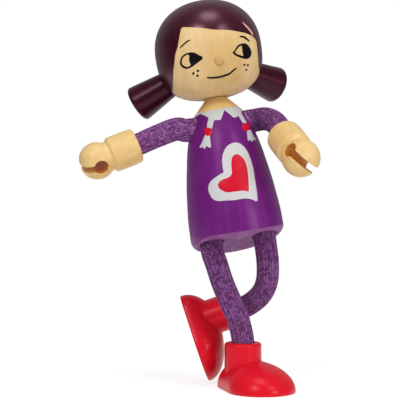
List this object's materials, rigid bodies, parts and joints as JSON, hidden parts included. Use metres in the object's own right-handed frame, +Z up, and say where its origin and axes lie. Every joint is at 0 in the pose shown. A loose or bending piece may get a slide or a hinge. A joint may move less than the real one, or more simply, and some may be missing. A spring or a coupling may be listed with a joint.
{
  "type": "bendy doll",
  "caption": "Small posable doll with a turned wooden head, body, hands and shoes on braided cords with a bendy wire core.",
  "frame": {"origin": "on the flat sole of the standing right shoe, under the middle of its ankle", "axes": "+Z up, -Y the way the doll faces, +X towards the doll's left hand"},
  "size_m": [0.0649, 0.0453, 0.108],
  "materials": {
    "bare_maple": "satin",
    "peg_wood": "matt",
    "hair_lacquer": "gloss lacquer",
    "dress_lacquer": "gloss lacquer",
    "shoe_lacquer": "gloss lacquer",
    "braided_cord": "matt",
    "core_wire": "satin"
  },
  "bodies": {
    "torso": {"arm_cord_middle": "braided_cord", "arm_wire": "core_wire", "body": "dress_lacquer", "left_hip_bend": "braided_cord", "left_leg_cord_root": "braided_cord", "left_leg_wire": "core_wire", "left_shoulder_bend": "braided_cord", "right_hip_bend": "braided_cord", "right_leg_cord_root": "braided_cord", "right_leg_wire": "core_wire", "right_shoulder_bend": "braided_cord"},
    "head": {"head": "hair_lacquer", "left_pigtail": "hair_lacquer", "left_pigtail_pin": "peg_wood", "nose_peg": "peg_wood", "right_pigtail": "hair_lacquer", "right_pigtail_pin": "peg_wood"},
    "left_shin": {"left_ankle_bend": "braided_cord", "left_shin_cord": "braided_cord"},
    "left_foot": {"left_ankle_cord": "braided_cord", "left_shoe": "shoe_lacquer"},
    "left_upper_arm": {"left_elbow_bend": "braided_cord", "left_upper_arm_cord": "braided_cord"},
    "left_forearm": {"left_forearm_cord": "braided_cord", "left_hand": "bare_maple"},
    "left_hip": {"left_hip_cord": "braided_cord", "left_thigh_bend": "braided_cord"},
    "left_thigh": {"left_knee_bend": "braided_cord", "left_thigh_cord": "braided_cord"},
    "left_shoulder": {"left_shoulder_cord": "braided_cord", "left_upper_arm_bend": "braided_cord"},
    "right_shin": {"right_ankle_bend": "braided_cord", "right_shin_cord": "braided_cord"},
    "right_foot": {"right_ankle_cord": "braided_cord", "right_shoe": "shoe_lacquer"},
    "right_upper_arm": {"right_elbow_bend": "braided_cord", "right_upper_arm_cord": "braided_cord"},
    "right_forearm": {"right_forearm_cord": "braided_cord", "right_hand": "bare_maple"},
    "right_hip": {"right_hip_cord": "braided_cord", "right_thigh_bend": "braided_cord"},
    "right_thigh": {"right_knee_bend": "braided_cord", "right_thigh_cord": "braided_cord"},
    "right_shoulder": {"right_shoulder_cord": "braided_cord", "right_upper_arm_bend": "braided_cord"}
  },
  "joints": [
    {"name": "head_turn", "type": "hinge", "parent": "torso", "child": "head", "pos_m": [-0.00755, 0.00069, 0.08066], "axis": [0.1564, -0.0174, -0.9875], "range_deg": [-60, 60]},
    {"name": "left_shoulder_raise", "type": "hinge", "parent": "torso", "child": "left_shoulder", "pos_m": [0.00522, 0.00128, 0.07508], "axis": [0.5693, 0.822, 0.0145], "range_deg": [-60, 15], "deforming": ["left_shoulder_bend", "arm_wire"]},
    {"name": "left_shoulder_swing", "type": "hinge", "parent": "left_shoulder", "child": "left_upper_arm", "pos_m": [0.00812, -0.0028, 0.07424], "axis": [-0.0386, 0.372, -0.9274], "range_deg": [-60, 25], "deforming": ["left_upper_arm_bend", "arm_wire"]},
    {"name": "left_elbow_bend", "type": "hinge", "parent": "left_upper_arm", "child": "left_forearm", "pos_m": [0.00979, -0.00656, 0.07202], "axis": [-0.0784, -0.6224, 0.7788], "range_deg": [-40, 55], "deforming": ["left_elbow_bend", "arm_wire"]},
    {"name": "right_shoulder_raise", "type": "hinge", "parent": "torso", "child": "right_shoulder", "pos_m": [-0.01812, -0.0012, 0.07215], "axis": [0.1175, -0.9923, 0.0391], "range_deg": [-30, 40], "deforming": ["right_shoulder_bend", "arm_wire"]},
    {"name": "right_shoulder_swing", "type": "hinge", "parent": "right_shoulder", "child": "right_upper_arm", "pos_m": [-0.02293, -0.00188, 0.07048], "axis": [-0.3848, -0.0193, 0.9228], "range_deg": [-60, 55], "deforming": ["right_upper_arm_bend", "arm_wire"]},
    {"name": "right_elbow_bend", "type": "hinge", "parent": "right_upper_arm", "child": "right_forearm", "pos_m": [-0.02715, -0.00275, 0.0686], "axis": [-0.1929, 0.9793, -0.0609], "range_deg": [-50, 50], "deforming": ["right_elbow_bend", "arm_wire"]},
    {"name": "left_hip_swing", "type": "hinge", "parent": "torso", "child": "left_hip", "pos_m": [0.00646, 0.00132, 0.03928], "axis": [0.9767, 0.1569, 0.1464], "range_deg": [-5, 40], "deforming": ["left_hip_bend", "left_leg_wire"]},
    {"name": "left_hip_spread", "type": "hinge", "parent": "left_hip", "child": "left_thigh", "pos_m": [0.00705, 0.00297, 0.03254], "axis": [0.1702, -0.9075, -0.3839], "range_deg": [-25, 5], "deforming": ["left_thigh_bend", "left_leg_wire"]},
    {"name": "left_knee_bend", "type": "hinge", "parent": "left_thigh", "child": "left_shin", "pos_m": [0.00596, 0.00645, 0.02677], "axis": [-0.5028, -0.7755, -0.3819], "range_deg": [-25, 5], "deforming": ["left_knee_bend", "left_leg_wire"]},
    {"name": "left_ankle_tilt", "type": "hinge", "parent": "left_shin", "child": "left_foot", "pos_m": [0.00116, 0.01127, 0.02205], "axis": [0.4927, 0.8304, 0.26], "range_deg": [-5, 40], "deforming": ["left_ankle_bend", "left_leg_wire"]},
    {"name": "right_hip_swing", "type": "hinge", "parent": "torso", "child": "right_hip", "pos_m": [-0.00825, -0.00213, 0.03714], "axis": [0.9398, 0.1911, 0.2831], "range_deg": [-60, 5], "deforming": ["right_hip_bend", "right_leg_wire"]},
    {"name": "right_hip_spread", "type": "hinge", "parent": "right_hip", "child": "right_thigh", "pos_m": [-0.00602, -0.00288, 0.03056], "axis": [-0.1397, 0.9872, -0.0776], "range_deg": [-30, 10], "deforming": ["right_thigh_bend", "right_leg_wire"]},
    {"name": "right_knee_bend", "type": "hinge", "parent": "right_thigh", "child": "right_shin", "pos_m": [-0.00336, -0.00252, 0.02422], "axis": [-0.907, -0.0816, -0.4132], "range_deg": [-5, 60], "deforming": ["right_knee_bend", "right_leg_wire"]},
    {"name": "right_ankle_tilt", "type": "hinge", "parent": "right_shin", "child": "right_foot", "pos_m": [-0.0006, -0.0006, 0.0166], "axis": [0.7479, 0.5797, 0.3236], "range_deg": [-50, 5], "deforming": ["right_ankle_bend", "right_leg_wire"]}
  ]
}
